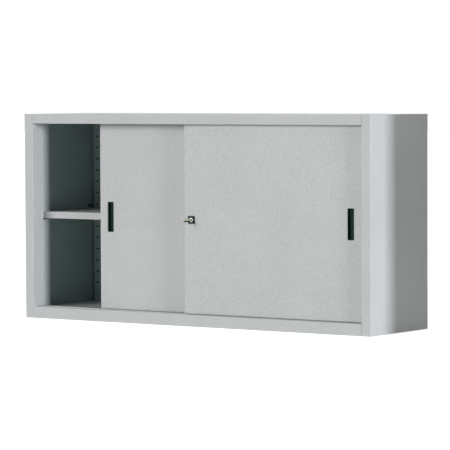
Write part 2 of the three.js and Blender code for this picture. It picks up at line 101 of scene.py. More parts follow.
# The end of every finish: the grain as a bump, and the shader that takes colour, roughness and bump
def endFinish(tree, settings, colour, rough, grain, bumpHeight, bumpStrength=0.5):
    bump = addNode(tree, "ShaderNodeBump", {"Strength": bumpStrength, "Distance": bumpHeight},
                   {"Height": grain.outputs["Fac"]})
    shader = addNode(tree, "ShaderNodeBsdfPrincipled", settings,
                     {"Base Color": colour.outputs[2], "Roughness": rough.outputs[0],
                      "Normal": bump.outputs[0]})
    addNode(tree, "ShaderNodeOutputMaterial", {}, {"Surface": shader.outputs[0]})


noiseSpan = (0.3, 0.7)               # nearly all values of a noise lie between these

# Polyester powder on sheet steel, sprayed dry and baked: an even light grey of low sheen, with a fine
# skin of bumps that shows as a faint speckle. The real bumps are 0.4 mm across. Bumps and speckle are
# drawn coarser, because a pixel of the view is about 4.4 mm wide. Deep inside, where little light
# reaches, a darker, greener grey is painted in as shade: the painted shade comes in between two depths,
# measured from the middle.
powderCoat = {
    "light": "#C9CBCC",
    "dark": "#B2B4B5",
    # Painted shade: darker, greener tones for the dim inside of the cabinet, and the depths where they come
    # in
    "shadeLight": "#ACBEBE",
    "shadeDark": "#98A8A9",
    "shadeDepth": (-150 * mm, -70 * mm),
    "speckle": 5 * mm,
    "speckleShare": 5,               # weight of the speckle beside the cloud's weight of 1
    "toneSpan": 2,                   # how much of the weighted sum runs from the light tone to the dark
    "cloud": 260 * mm,
    "bump": 1.1 * mm,
    "bumpHeight": 0.036 * mm,
    "roughness": (0.3, 0.4),
    "ior": 1.5,
}


def makePowderCoat(name, paintedShade=False):
    material, tree = startMaterial(name)
    place = addNode(tree, "ShaderNodeTexCoord", {}).outputs["Object"]
    speckle = addNode(tree, "ShaderNodeTexNoise",
                      {"Scale": 1 / powderCoat["speckle"], "Detail": 3, "Roughness": 0.6}, {"Vector": place})
    cloud = addNode(tree, "ShaderNodeTexNoise",
                    {"Scale": 1 / powderCoat["cloud"], "Detail": 2}, {"Vector": place})
    grain = addNode(tree, "ShaderNodeTexNoise",
                    {"Scale": 1 / powderCoat["bump"], "Detail": 2}, {"Vector": place})
    mixed = addNode(tree, "ShaderNodeMath", {"operation": "MULTIPLY_ADD", 1: powderCoat["speckleShare"]},
                    {0: speckle.outputs["Fac"], 2: cloud.outputs["Fac"]})
    low, high = (powderCoat["speckleShare"] + 1) / 2 + bothEnds * powderCoat["toneSpan"]
    share = addNode(tree, "ShaderNodeMapRange", {"From Min": low, "From Max": high},
                    {"Value": mixed.outputs[0]})
    colour = addNode(tree, "ShaderNodeMix",
                     {"data_type": "RGBA", 6: linear(powderCoat["light"]), 7: linear(powderCoat["dark"])},
                     {0: share.outputs[0]})
    # Painted shade: towards the back the coat's tones give way to the darker, greener shade tones
    if paintedShade:
        start, end = powderCoat["shadeDepth"]
        axes = addNode(tree, "ShaderNodeSeparateXYZ", {}, {"Vector": place})
        depth = addNode(tree, "ShaderNodeMapRange",
                        {"interpolation_type": "SMOOTHSTEP", "From Min": start, "From Max": end},
                        {"Value": axes.outputs["Y"]})
        shadeTone = addNode(tree, "ShaderNodeMix",
                       {"data_type": "RGBA", 6: linear(powderCoat["shadeLight"]),
                        7: linear(powderCoat["shadeDark"])}, {0: share.outputs[0]})
        colour = addNode(tree, "ShaderNodeMix", {"data_type": "RGBA"},
                         {0: depth.outputs[0], 6: colour.outputs[2], 7: shadeTone.outputs[2]})
    low, high = powderCoat["roughness"]
    rough = addNode(tree, "ShaderNodeMapRange",
                    {"From Min": noiseSpan[0], "From Max": noiseSpan[1], "To Min": low, "To Max": high},
                    {"Value": grain.outputs["Fac"]})
    endFinish(tree, {"IOR": powderCoat["ior"]}, colour, rough, grain, powderCoat["bumpHeight"])
    return material


# ABS moulded in a tool etched with a fine grain: near black, with a dull sheen. The green in its tones and
# sheen is painted: the green cast of the shade deep in the handle cups.
blackAbs = {
    "light": "#0B1615",
    "dark": "#060E0D",
    "grain": 0.9 * mm,
    "grainHeight": 0.06 * mm,
    "roughness": (0.46, 0.62),
    "shine": 0.2,
    "sheen": "#AAFFF9",
    "ior": 1.54,
}

# Nylon moulded in a polished tool and left uncoloured: warm white, soft-edged, slightly waxy
whiteNylon = {
    "light": "#E9E6DC",
    "dark": "#DDD9CC",
    "grain": 4 * mm,
    "grainHeight": 0.02 * mm,
    "roughness": (0.38, 0.5),
    "shine": 0.5,
    "sheen": "#FFFFFF",
    "ior": 1.53,
}

# Black rubber cut from an extruded strip: no sheen, with a grey bloom in patches
blackRubber = {
    "light": "#2B2B2A",
    "dark": "#191919",
    "grain": 2 * mm,
    "grainHeight": 0.05 * mm,
    "roughness": (0.8, 0.95),
    "shine": 0.3,
    "sheen": "#FFFFFF",
    "ior": 1.52,
}


# A moulded or cut polymer: two close tones mixed by one noise, which also drives roughness and bump
def makePolymer(name, look):
    material, tree = startMaterial(name)
    place = addNode(tree, "ShaderNodeTexCoord", {}).outputs["Object"]
    grain = addNode(tree, "ShaderNodeTexNoise",
                    {"Scale": 1 / look["grain"], "Detail": 4, "Roughness": 0.65}, {"Vector": place})
    share = addNode(tree, "ShaderNodeMapRange", {"From Min": noiseSpan[0], "From Max": noiseSpan[1]},
                    {"Value": grain.outputs["Fac"]})
    colour = addNode(tree, "ShaderNodeMix",
                     {"data_type": "RGBA", 6: linear(look["light"]), 7: linear(look["dark"])},
                     {0: share.outputs[0]})
    low, high = look["roughness"]
    rough = addNode(tree, "ShaderNodeMapRange", {"To Min": low, "To Max": high},
                    {"Value": share.outputs[0]})
    settings = {"IOR": look["ior"], "Specular IOR Level": look["shine"],
                "Specular Tint": linear(look["sheen"])}
    endFinish(tree, settings, colour, rough, grain, look["grainHeight"], bumpStrength=0.6)
    return material


# Bright zinc plate, passivated: blue-grey metal with soft crystal patches a few millimetres wide
zincPlate = {
    "light": "#C3C8CA",
    "dark": "#A9B0B3",
    "patch": 5 * mm,
    "scratch": 0.8 * mm,
    "scratchHeight": 0.02 * mm,
    "roughness": (0.3, 0.46),
}

# The same plate, passivated black: dark slate metal with a satin sheen, for the shelf hooks. The strips
# behind the rack slots take it too, as painted shade.
blackZinc = {
    "light": "#1E2222",
    "dark": "#121515",
    "patch": 4 * mm,
    "scratch": 0.8 * mm,
    "scratchHeight": 0.01 * mm,
    "roughness": (0.45, 0.6),
}

# Nickel plate over die-cast zinc, satin: a warm, creamy metal with fine handling marks
nickelPlate = {
    "light": "#E4DFD6",
    "dark": "#D2CCC2",
    "patch": 9 * mm,
    "scratch": 0.6 * mm,
    "scratchHeight": 0.01 * mm,
    "roughness": (0.4, 0.54),
}


# How scratches and patches go together: the scratches are noise drawn out along Z, and the roughness
# follows scratch share * scratch + patch, over the span that the sum mostly keeps to
plateBlend = {"drawnOut": (1, 1, 0.08), "scratchShare": 0.5, "span": (0.2, 1.2)}


# A plated metal: cell noise for the patches, a noise drawn out along one axis for the fine scratches
def makePlate(name, look):
    material, tree = startMaterial(name)
    place = addNode(tree, "ShaderNodeTexCoord", {}).outputs["Object"]
    patch = addNode(tree, "ShaderNodeTexVoronoi", {"Scale": 1 / look["patch"]}, {"Vector": place})
    stretch = addNode(tree, "ShaderNodeMapping", {"Scale": plateBlend["drawnOut"]}, {"Vector": place})
    scratch = addNode(tree, "ShaderNodeTexNoise", {"Scale": 1 / look["scratch"], "Detail": 3},
                      {"Vector": stretch.outputs[0]})
    grey = addNode(tree, "ShaderNodeRGBToBW", {}, {"Color": patch.outputs["Color"]})
    colour = addNode(tree, "ShaderNodeMix",
                     {"data_type": "RGBA", 6: linear(look["light"]), 7: linear(look["dark"])},
                     {0: grey.outputs[0]})
    mixed = addNode(tree, "ShaderNodeMath", {"operation": "MULTIPLY_ADD", 1: plateBlend["scratchShare"]},
                    {0: scratch.outputs["Fac"], 2: grey.outputs[0]})
    least, most = plateBlend["span"]
    low, high = look["roughness"]
    rough = addNode(tree, "ShaderNodeMapRange",
                    {"From Min": least, "From Max": most, "To Min": low, "To Max": high},
                    {"Value": mixed.outputs[0]})
    endFinish(tree, {"Metallic": 1.0}, colour, rough, scratch, look["scratchHeight"])
    return material


finishes = {
    "grey_paint": makePowderCoat("textured_powder_coat"),
    "black_plastic": makePolymer("grained_black_abs", blackAbs),
    "white_nylon": makePolymer("moulded_white_nylon", whiteNylon),
    "zinc_steel": makePlate("bright_zinc_plate", zincPlate),
    "nickel": makePlate("nickel_plate", nickelPlate),
    "black_rubber": makePolymer("cut_black_rubber", blackRubber),
}
hookAndSlotShadeFinish = makePlate("black_zinc_and_slot_shade", blackZinc)
# The coat with painted shade towards the back, for back panel, partition, liners and racks
shadedCoat = makePowderCoat("powder_coat_with_painted_shade", paintedShade=True)
paintedShadeParts = ("back_panel", "centre_partition")
print("finishes made")

# Every node of the imported model takes the finish of its own slot, but the shelf hooks a black one, and
# the back panel and partition the coat with painted shade. Liners and racks take that coat where they are
# made.
for part in frame["record"]["subparts"]:
    finish = finishes[part["material_slot"]]
    if part["node"].endswith("_hook"):
        finish = hookAndSlotShadeFinish
    if part["node"] in paintedShadeParts:
        finish = shadedCoat
    for materialSlot in nodes[part["node"]].material_slots:
        materialSlot.material = finish


def addObject(name, data):
    added = bpy.data.objects.new(name, data)
    bpy.context.scene.collection.objects.link(added)
    return added


sharpAngle = 35                      # degrees between two faces, past which their edge stays sharp


# Makes a closed piece from points and groups of faces, turns its faces outwards, smooths its bends and
# hangs it on its body in place of the nodes that it stands for
def newPiece(name, body, slot, points, faceGroups, replaced=(), finish=None):
    used, order = np.unique(np.concatenate([group.ravel() for group in faceGroups]), return_inverse=True)
    ends = np.cumsum([group.size for group in faceGroups])[:-1]
    groups = [part.reshape(group.shape) for part, group in zip(np.split(order, ends), faceGroups)]
    mesh = bpy.data.meshes.new(name)
    mesh.from_pydata(points[used].tolist(), [], [face for group in groups for face in group.tolist()])
    shape = bmesh.new()
    shape.from_mesh(mesh)
    bmesh.ops.recalc_face_normals(shape, faces=shape.faces)
    shape.to_mesh(mesh)
    shape.free()
    mesh.polygons.foreach_set("use_smooth", np.ones(len(mesh.polygons), bool))
    mesh.set_sharp_from_angle(angle=math.radians(sharpAngle))
    mesh.materials.append(finish or finishes[slot])
    piece = addObject(name, mesh)
    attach(piece, body)
    if replaced:
        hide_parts(*replaced)
    return piece


# A folded sheet in section. The line is one face, and the other lies one thickness to its left. Each
# corner of the middle line becomes an arc: point = centre - turn * radius * normal, while the normal
# turns evenly from one side's to the next's. A point close to each end of the arc keeps the sides flat.
def sheetSection(line, thickness, bend, stops=None, steps=5, support=0.4 * mm):
    line = np.array(line, float)
    run = np.diff(line, axis=0)
    run /= np.linalg.norm(run, axis=1)[:, None]
    left = np.stack([-run[:, 1], run[:, 0]], axis=1)
    before, after = np.vstack([left[:1], left]), np.vstack([left, left[-1:]])
    middle = line + (before + after) / (1 + (before * after).sum(axis=1))[:, None] * thickness / 2
    radius = (np.full(len(line) - 2, bend) + abs(thickness) / 2)[:, None]
    turn = np.sign(run[:-1, 0] * run[1:, 1] - run[:-1, 1] * run[1:, 0])[:, None]
    angle = np.arccos((run[:-1] * run[1:]).sum(axis=1))[:, None]
    start = middle[1:-1] - run[:-1] * radius * np.tan(angle / 2)
    centre = start + turn * radius * left[:-1]
    share = np.linspace(0, 1, steps + 1)[None, :, None]
    wide = angle[:, None]
    normals = np.sin((1 - share) * wide) * left[:-1, None] + np.sin(share * wide) * left[1:, None]
    normals /= np.sin(wide)
    arcs = centre[:, None] - (turn * radius)[:, None] * normals
    lead, trail = arcs[:, :1] - run[:-1, None] * support, arcs[:, -1:] + run[1:, None] * support
    arcs = np.concatenate([lead, arcs, trail], axis=1)
    normals = np.concatenate([normals[:, :1], normals, normals[:, -1:]], axis=1)
    places, sides = [middle[:1]], [left[:1]]
    for index, direction in enumerate(run):
        values = np.array((stops or {}).get(index, []), float)
        extra = np.repeat(middle[index:index + 1], len(values), axis=0)
        extra[:, abs(direction).argmax()] = values
        places.append(extra)
        sides.append(np.repeat(left[index:index + 1], len(values), axis=0))
        if index < len(run) - 1:
            places.append(arcs[index])
            sides.append(normals[index])
    places, sides = np.vstack([*places, middle[-1:]]), np.vstack([*sides, left[-1:]])
    return places - sides * thickness / 2, places + sides * thickness / 2


# Faces of a sheet whose two sides are grids of rows and columns, the second side's points after the
# first's. A cell is left out where keep is False, and each edge between a cell and none gets a wall.
def sheetFaces(keep, wrap=False, openStart=False):
    rows = keep.shape[0] + 1
    columns = keep.shape[1] + (0 if wrap else 1)
    place = np.arange(rows * columns).reshape(rows, columns)
    across = np.roll(place, -1, axis=1)
    near, far = place[:, :keep.shape[1]], across[:, :keep.shape[1]]
    other = rows * columns
    cells = np.stack([near[:-1], far[:-1], far[1:], near[1:]], axis=-1)[keep]
    padded = np.pad(keep, ((1, 1), (0, 0)))
    rowEdge = padded[:-1] != padded[1:]
    if openStart:
        rowEdge[0] = False
    rowWall = np.stack([near, far, far + other, near + other], axis=-1)[rowEdge]
    if wrap:
        columnEdge = keep != np.roll(keep, 1, axis=1)
    else:
        padded = np.pad(keep, ((0, 0), (1, 1)))
        columnEdge = padded[:, :-1] != padded[:, 1:]
    columnWall = np.stack([place[:-1], place[1:], place[1:] + other, place[:-1] + other], axis=-1)[columnEdge]
    return np.vstack([cells, cells[:, ::-1] + other, rowWall, columnWall])


# Which cells of a grid are kept: those whose centre, the mean of four corners, lies in none of the boxes
# cut out
def keptCells(grid, cuts, wrap=False):
    nextColumn = np.roll(grid, -1, axis=1) if wrap else grid[:, 1:]
    here = grid if wrap else grid[:, :-1]
    centres = (here[:-1] + here[1:] + nextColumn[:-1] + nextColumn[1:]) / 4
    keep = np.ones(centres.shape[:2], bool)
    for low, high in cuts:
        keep &= ~((centres > np.array(low)) & (centres < np.array(high))).all(axis=-1)
    return keep


# Points and faces of a folded sheet carried along an axis from level to level
def foldedSheet(line, thickness, bend, axis, levels, stops=None, cuts=()):
    section = sheetSection(line, thickness, bend, stops)
    flat = [column for column in range(3) if column != axis]
    grids = np.zeros((2, len(section[0]), len(levels), 3))
    grids[..., axis] = levels
    for side in (0, 1):
        grids[side][..., flat] = section[side][:, None]
    keep = keptCells(grids.mean(axis=0), cuts)
    return grids.reshape(-1, 3), sheetFaces(keep)


# Faces between rows of points: each row is a closed loop, and a flat face closes each end, or in a ring
# the last row meets the first
def loopFaces(rows, columns, ring=False):
    place = np.arange(rows * columns).reshape(rows, columns)
    following = np.roll(place, -1, axis=0) if ring else place[1:]
    here = place if ring else place[:-1]
    sides = np.stack([here, np.roll(here, -1, axis=1), np.roll(following, -1, axis=1), following], axis=-1)
    groups = [sides.reshape(-1, 4)]
    if not ring:
        groups += [place[:1], place[-1:]]
    return groups


# A piece made of such rows
def rowPiece(name, body, slot, rows, replaced=(), ring=False, finish=None):
    newPiece(name, body, slot, rows.reshape(-1, 3), loopFaces(*rows.shape[:2], ring), replaced, finish)


# Rows of rounded rectangles in the XZ plane. A point at turn a lies at its corner's centre plus the
# corner radius times (cos a, sin a); each row has its own half sizes, radius and depth along Y.
def rectangleRows(centre, halfSizes, radii, depths, steps=5):
    turns = np.linspace(0, math.pi / 2, steps + 1)[None, :] + np.arange(4)[:, None] * math.pi / 2
    signs = np.array([(1, 1), (-1, 1), (-1, -1), (1, -1)])[:, None]
    circle = np.stack([np.cos(turns), np.sin(turns)], axis=-1)
    radii = np.array(radii, float)[:, None, None, None]
    halfSizes = np.array(halfSizes, float)[:, None, None]
    flat = signs * (halfSizes - radii) + circle * radii
    rows = np.zeros((len(depths), circle.shape[0] * circle.shape[1], 3))
    rows[..., [0, 2]] = flat.reshape(len(depths), -1, 2) + np.array(centre)
    rows[..., 1] = np.array(depths)[:, None]
    return rows


# A quarter of a round edge from the side to the flat face: at turn a its inset is radius * (1 - cos a)
# and its rise is radius * (1 - sin a)
def roundEdge(radius, steps=4):
    turns = np.linspace(0, math.pi / 2, steps + 1)
    return radius * (1 - np.cos(turns)), radius * (1 - np.sin(turns))


# Rows of circles about an axis along Y, at x = centre + radius * cos a and z = centre + radius * sin a:
# each pair of the profile is a radius and a depth
def turnedRows(centre, profile, steps=48):
    turns = np.linspace(0, math.tau, steps, endpoint=False)
    radii, depths = np.array(profile, float).T
    rows = np.zeros((len(radii), steps, 3))
    rows[..., 0] = centre[0] + radii[:, None] * np.cos(turns)
    rows[..., 1] = depths[:, None]
    rows[..., 2] = centre[1] + radii[:, None] * np.sin(turns)
    return rows


# Centre of a box in the XZ plane, as the doors show it
def centreOf(low, high):
    return (low.x + high.x) / 2, (low.z + high.z) / 2


front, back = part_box("right_side_panel")[0].y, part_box("back_panel")[1].y
halfWidth, height = cadBox[1].x, cadBox[1].z

# Outer sides: skin, stile, return and back flange bent from one sheet. The return stops short of both ends.
sideSheet = {
    "sheet": 1 * mm,
    "stile": 45 * mm,
    "returnDepth": 33 * mm,
    "backFlange": 20 * mm,
    "returnShort": 1.3 * mm,
    "bends": [1.5 * mm, 2 * mm, 1.2 * mm],      # inner radii: back corner, front corner, stile's edge
    "overrun": 1 * mm,
}


def makeSide(name, side):
    sheet, inner = sideSheet["sheet"], halfWidth - sideSheet["stile"]
    line = [
        (side * (halfWidth - sideSheet["backFlange"]), back),
        (side * halfWidth, back),
        (side * halfWidth, front),
        (side * inner, front),
        (side * inner, front + sideSheet["returnDepth"]),
    ]
    short, over = sideSheet["returnShort"], sideSheet["overrun"]
    levels = [0, short, height - short, height]
    left, right = sorted((side * (inner - over), side * (inner + sheet + over)))
    end = front + sideSheet["returnDepth"] + over
    cuts = [((left, front + sheet, level - short), (right, end, level + short)) for level in (0, height)]
    points, faces = foldedSheet(line, -side * sheet, np.array(sideSheet["bends"]), 2, levels, cuts=cuts)
    newPiece(name + "_folded_side", "carcass", "grey_paint", points, [faces], [name + "_side_panel"])


for sideName, sideSign in sideSigns.items():
    makeSide(sideName, sideSign)

# Rails of the front frame: a face and a lip turned back over or under the doors
railSheet = {"sheet": 1 * mm, "lip": 12 * mm, "bend": 0.6 * mm}


def makeRail(name, outer, inner):
    low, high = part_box(name)
    line = [(front, outer), (front, inner), (front + railSheet["lip"], inner)]
    thickness = math.copysign(railSheet["sheet"], outer - inner)
    points, faces = foldedSheet(line, thickness, railSheet["bend"], 0, [low.x, high.x])
    newPiece(name + "_folded", "carcass", "grey_paint", points, [faces], [name])


makeRail("top_rail", height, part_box("top_rail")[0].z)
makeRail("bottom_rail", 0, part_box("bottom_rail")[1].z)

# Inner side walls: the jamb behind each stile, and the liner with its rows of slots
wallSheet = {
    "sheet": 1 * mm,
    "bend": 1 * mm,
    "slotFromFront": 85 * mm,
    "slotLength": 10 * mm,
    "slotHeight": 2.1 * mm,          # as tall as a hook's tongue needs: none can be made out in the view
    "holeFromBack": 31 * mm,
    "holeLength": 28 * mm,
    "holeLevel": 482 * mm,
    "holeHeight": 9 * mm,
    "overrun": 1 * mm,
}

# One row of slots serves liners and racks: the level of its first slot's middle, the pitch and the height
slotRow = {"count": 14, "first": 132 * mm, "pitch": 51 * mm, "height": 4.5 * mm}
slotCentres = slotRow["first"] + slotRow["pitch"] * np.arange(slotRow["count"])
slotEdges = slotCentres[:, None] + bothEnds * slotRow["height"]


def makeJamb(side, name):
    low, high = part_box(name)
    near, far = (low.x, high.x) if side > 0 else (high.x, low.x)
    line = [(near, low.y), (near, high.y), (far, high.y)]
    points, faces = foldedSheet(line, -side * wallSheet["sheet"], wallSheet["bend"], 2, [low.z, high.z])
    newPiece(name + "_folded", "carcass", "grey_paint", points, [faces], [name])


def makeLiner(side, name):
    low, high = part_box(name)
    near, far = (low.x, high.x) if side > 0 else (high.x, low.x)
    line = [(far, low.y), (near, low.y), (near, high.y), (far, high.y)]
    slot = front + wallSheet["slotFromFront"] + bothEnds * wallSheet["slotLength"]
    hole = back - wallSheet["holeFromBack"] + bothEnds * wallSheet["holeLength"]
    holeLevels = wallSheet["holeLevel"] + bothEnds * wallSheet["holeHeight"]
    bottoms = slotEdges[:, 0]
    tops = bottoms + wallSheet["slotHeight"]
    levels = np.unique([low.z, *bottoms, *tops, *holeLevels, high.z])
    left, right = low.x - wallSheet["overrun"], high.x + wallSheet["overrun"]
    cuts = [((left, slot[0], bottom), (right, slot[1], top)) for bottom, top in zip(bottoms, tops)]
    cuts.append(((left, hole[0], holeLevels[0]), (right, hole[1], holeLevels[1])))
    points, faces = foldedSheet(line, -side * wallSheet["sheet"], wallSheet["bend"], 2, levels,
                                {1: [*slot, *hole]}, cuts)
    # The liner takes the coat with painted shade towards the back
    newPiece(name + "_folded", "carcass", "grey_paint", points, [faces], [name], shadedCoat)


for sideName, sideSign in sideSigns.items():
    makeJamb(sideSign, sideName + "_jamb")
    makeLiner(sideSign, sideName + "_wall_liner")

# Slotted racks on the back panel, each with a dark strip behind its slots: painted shade inside the channel
rackSheet = {
    "sheet": 1.2 * mm,
    "bend": 1 * mm,
    "slotLength": 17 * mm,
    "slotShade": 0.8 * mm,
    "slotShadeGap": 0.3 * mm,
    "slotShadeMargin": 3 * mm,
    "slotShadeEdge": 0.2 * mm,
    "overrun": 1 * mm,
}


def makeRack(name):
    low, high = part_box(name)
    line = [(low.x, high.y), (low.x, low.y), (high.x, low.y), (high.x, high.y)]
    middle = centreOf(low, high)
    slot = middle[0] + bothEnds * rackSheet["slotLength"]
    levels = np.unique([low.z, *slotEdges.ravel(), high.z])
    near, far = low.y - rackSheet["overrun"], low.y + rackSheet["sheet"] + rackSheet["overrun"]
    cuts = [((slot[0], near, bottom), (slot[1], far, top)) for bottom, top in slotEdges]
    points, faces = foldedSheet(line, rackSheet["sheet"], rackSheet["bend"], 2, levels, {1: slot}, cuts)
    # The rack takes the coat with painted shade towards the back
    newPiece(name + "_folded", "carcass", "grey_paint", points, [faces], [name], shadedCoat)
    # A dark strip just behind the slots: painted shade, so that the slots read dark
    margin, edge, gap = (rackSheet[key] for key in ("slotShadeMargin", "slotShadeEdge", "slotShadeGap"))
    half = np.array([high.x - low.x, high.z - low.z]) / 2 - margin
    far = high.y - gap
    near = far - rackSheet["slotShade"]
    insets = np.array([[edge], [0], [0], [edge]])
    depths = [near, near + edge, far - edge, far]
    rows = rectangleRows(middle, half - insets, np.full(len(insets), edge), depths, steps=1)
    rowPiece(name + "_painted_slot_shade", "carcass", "zinc_steel", rows, finish=hookAndSlotShadeFinish)


for place in ("left_wall", "partition_left", "partition_right", "right_wall"):
    makeRack(place + "_rack")

# Shelves: a tray with a lip under its front and back edges, closed by a plate at each end
shelfSheet = {"sheet": 1 * mm, "lip": 12 * mm, "bend": 0.6 * mm}


def makeShelf(name):
    low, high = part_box(name)
    sheet, lip = shelfSheet["sheet"], shelfSheet["lip"]
    line = [
        (low.y + lip, low.z),
        (low.y, low.z),
        (low.y, high.z),
        (high.y, high.z),
        (high.y, low.z),
        (high.y - lip, low.z),
    ]
    points, faces = foldedSheet(line, -sheet, shelfSheet["bend"], 0, [low.x + sheet, high.x - sheet])
    outline = sheetSection(line, -sheet, shelfSheet["bend"])[0]
    allPoints, allFaces = [points], [faces]
    for x in (low.x, high.x - sheet):
        plate = np.zeros((2, len(outline), 3))
        plate[..., 0] = [[x], [x + sheet]]
        plate[..., 1:] = outline
        start = sum(len(block) for block in allPoints)
        allPoints.append(plate.reshape(-1, 3))
        allFaces += [group + start for group in loopFaces(2, len(outline))]
    newPiece(name + "_folded", "carcass", "grey_paint", np.vstack(allPoints), allFaces, [name])


for sideName in sideSigns:
    makeShelf(sideName + "_shelf")
print("carcass sheets folded")

# Door skins: a pan with round edges, a lip all round its open back, and openings in face and edges
doorPan = {
    "sheet": 1 * mm,
    "lip": 15 * mm,
    "bend": 1 * mm,
    "corner": 2.4 * mm,
    "leastCorner": 0.3 * mm,
    "faceInset": 9 * mm,
    "handleHole": (26.6 * mm, 126.6 * mm),
    "lockHole": 9.8 * mm,
    "rollerFromEnd": 90 * mm,
    "wheelHole": (26 * mm, 9 * mm),
    "guideFromEnd": 130 * mm,
    "tenonHole": (20.6 * mm, 6.6 * mm),
    "handleCorner": 1.5 * mm,
    "lockSteps": 32,
    "overrun": 2 * mm,
    "mergeWithin": 0.0001 * mm,
}


# A loop of the rim: at inset d its points lie on a rounded rectangle d inside the door's outline. Its top
# and bottom sides get extra points where the tenon and wheel openings begin and end.
def rimLoop(halfX, halfZ, inset, breaks, steps=4):
    radius = max(doorPan["corner"] - inset, doorPan["leastCorner"])
    turns = np.linspace(0, math.pi / 2, steps + 1)
    corner = np.stack([np.cos(turns), np.sin(turns)], axis=1) * radius
    quarter = np.array([[0, -1], [1, 0]])
    loop = []
    for index, sign in enumerate(((1, 1), (-1, 1), (-1, -1), (1, -1))):
        centre = np.array(sign) * (np.array([halfX, halfZ]) - inset - radius)
        loop.append(corner @ np.linalg.matrix_power(quarter.T, index) + centre)
        if index in (0, 2):
            xs = np.array(sorted(breaks[index], reverse=index == 0))
            z = (halfZ - inset) * (1 if index == 0 else -1)
            loop.append(np.stack([xs, np.full(len(xs), z)], axis=1))
    return np.vstack(loop)


# Triangles of the flat face between an outer loop and the loops of its holes, as numbers into all their
# points in order. Those with all corners on one hole's loop fill that hole and are dropped.
def fillAroundHoles(loops):
    owner = np.concatenate([np.full(len(loop), index) for index, loop in enumerate(loops)])
    starts = np.cumsum([0] + [len(loop) for loop in loops])
    edges = [np.stack([np.arange(len(loop)), np.roll(np.arange(len(loop)), -1)], axis=1) + start
             for start, loop in zip(starts, loops)]
    flat = [tuple(point) for point in np.vstack(loops)]
    filled = geometry.delaunay_2d_cdt(flat, np.vstack(edges).tolist(), [], 0, doorPan["mergeWithin"])
    triangles, origins = filled[2:4]
    source = np.array([origin[0] for origin in origins])
    triangles = source[np.array([list(triangle) for triangle in triangles])]
    owners = owner[triangles]
    return triangles[~((owners[:, 0] > 0) & (owners == owners[:, :1]).all(axis=1))], starts


# The section across the door's edge gives each loop of the rim its inset and depth. Cells are left out for
# wheels and tenons, then both sides of the face are filled round the holes for handle and lock, and each
# hole gets a wall. All spans are about the door's centre.
def makeDoorSkin(name, lock):
    low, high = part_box(name)
    halfX, halfZ = (high.x - low.x) / 2, (high.z - low.z) / 2
    centre = np.array(centreOf(low, high))
    thick, sheet, over = high.y - low.y, doorPan["sheet"], doorPan["overrun"]
    openings = []
    for hole, fromEnd in (("wheelHole", "rollerFromEnd"), ("tenonHole", "guideFromEnd")):
        length, width = doorPan[hole]
        middles = np.array([-1, 1]) * (halfX - doorPan[fromEnd])
        openings.append((middles[:, None] + bothEnds * length, thick / 2 + bothEnds * width))
    (wheelSpans, wheelDepths), (tenonSpans, tenonDepths) = openings
    line = [(doorPan["faceInset"], 0), (0, 0), (0, thick), (doorPan["lip"], thick)]
    section = sheetSection(line, -sheet, doorPan["bend"], {1: sorted([*wheelDepths, *tenonDepths])})
    breaks = {0: tenonSpans.ravel(), 2: wheelSpans.ravel()}
    grids = []
    for face in section:
        loops = np.array([rimLoop(halfX, halfZ, inset, breaks) for inset in face[:, 0]])
        grid = np.zeros((*loops.shape[:2], 3))
        grid[..., [0, 2]] = loops + centre
        grid[..., 1] = low.y + face[:, 1][:, None]
        grids.append(grid)
    grids = np.array(grids)
    cuts = []
    for spans, depths, z in ((wheelSpans, wheelDepths, -halfZ), (tenonSpans, tenonDepths, halfZ)):
        for left, right in spans:
            cuts.append(((centre[0] + left, low.y + depths[0], centre[1] + z - over),
                         (centre[0] + right, low.y + depths[1], centre[1] + z + over)))
    rim = sheetFaces(keptCells(grids.mean(axis=0), cuts, wrap=True), wrap=True, openStart=True)
    handle = centreOf(*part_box(name.replace("skin", "handle")))
    halfHole = np.array(doorPan["handleHole"]) / 2
    holes = [rectangleRows(handle, [halfHole], [doorPan["handleCorner"]], [0])[0][:, [0, 2]]]
    if lock:
        barrel = centreOf(*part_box("lock_barrel"))
        holes.append(turnedRows(barrel, [(doorPan["lockHole"], 0)], doorPan["lockSteps"])[0][:, [0, 2]])
    triangles, starts = fillAroundHoles([grids[0, 0][:, [0, 2]], *holes])
    columns, size = grids.shape[2], grids[0].shape[0] * grids.shape[2]
    holePoints = np.vstack(holes)
    extra = np.zeros((2, len(holePoints), 3))
    extra[..., [0, 2]] = holePoints
    extra[0, :, 1], extra[1, :, 1] = low.y, low.y + sheet
    count = np.arange(len(holePoints)) + 2 * size
    frontIndex = np.concatenate([np.arange(columns), count])
    backIndex = np.concatenate([np.arange(columns) + size, count + len(holePoints)])
    walls = []
    for start, loop in zip(starts[1:], holes):
        here = start + np.arange(len(loop))
        following = np.roll(here, -1)
        walls.append(np.stack([frontIndex[here], frontIndex[following],
                               backIndex[following], backIndex[here]], axis=1))
    points = np.vstack([grids.reshape(-1, 3), extra.reshape(-1, 3)])
    newPiece(name + "_pan", name.replace("_skin", ""), "grey_paint", points,
             [rim, frontIndex[triangles], backIndex[triangles][:, ::-1], *walls], [name])


makeDoorSkin("front_door_skin", True)
makeDoorSkin("rear_door_skin", False)

# Recessed handles: a thin frame on the face, and a cup whose walls lean in and meet its floor in a round
handleShape = {
    "flange": 1.5 * mm,
    "frame": 2.6 * mm,
    "wall": 1.5 * mm,
    "edge": 0.6 * mm,
    "mouth": 0.5 * mm,
    "lean": 0.8 * mm,
    "floorRound": 3 * mm,
    "corner": 2.2 * mm,
    "cornerLoss": 0.3,               # the corner radius falls by this share of a row's inset
    "cupSetIn": 2 * mm,
}


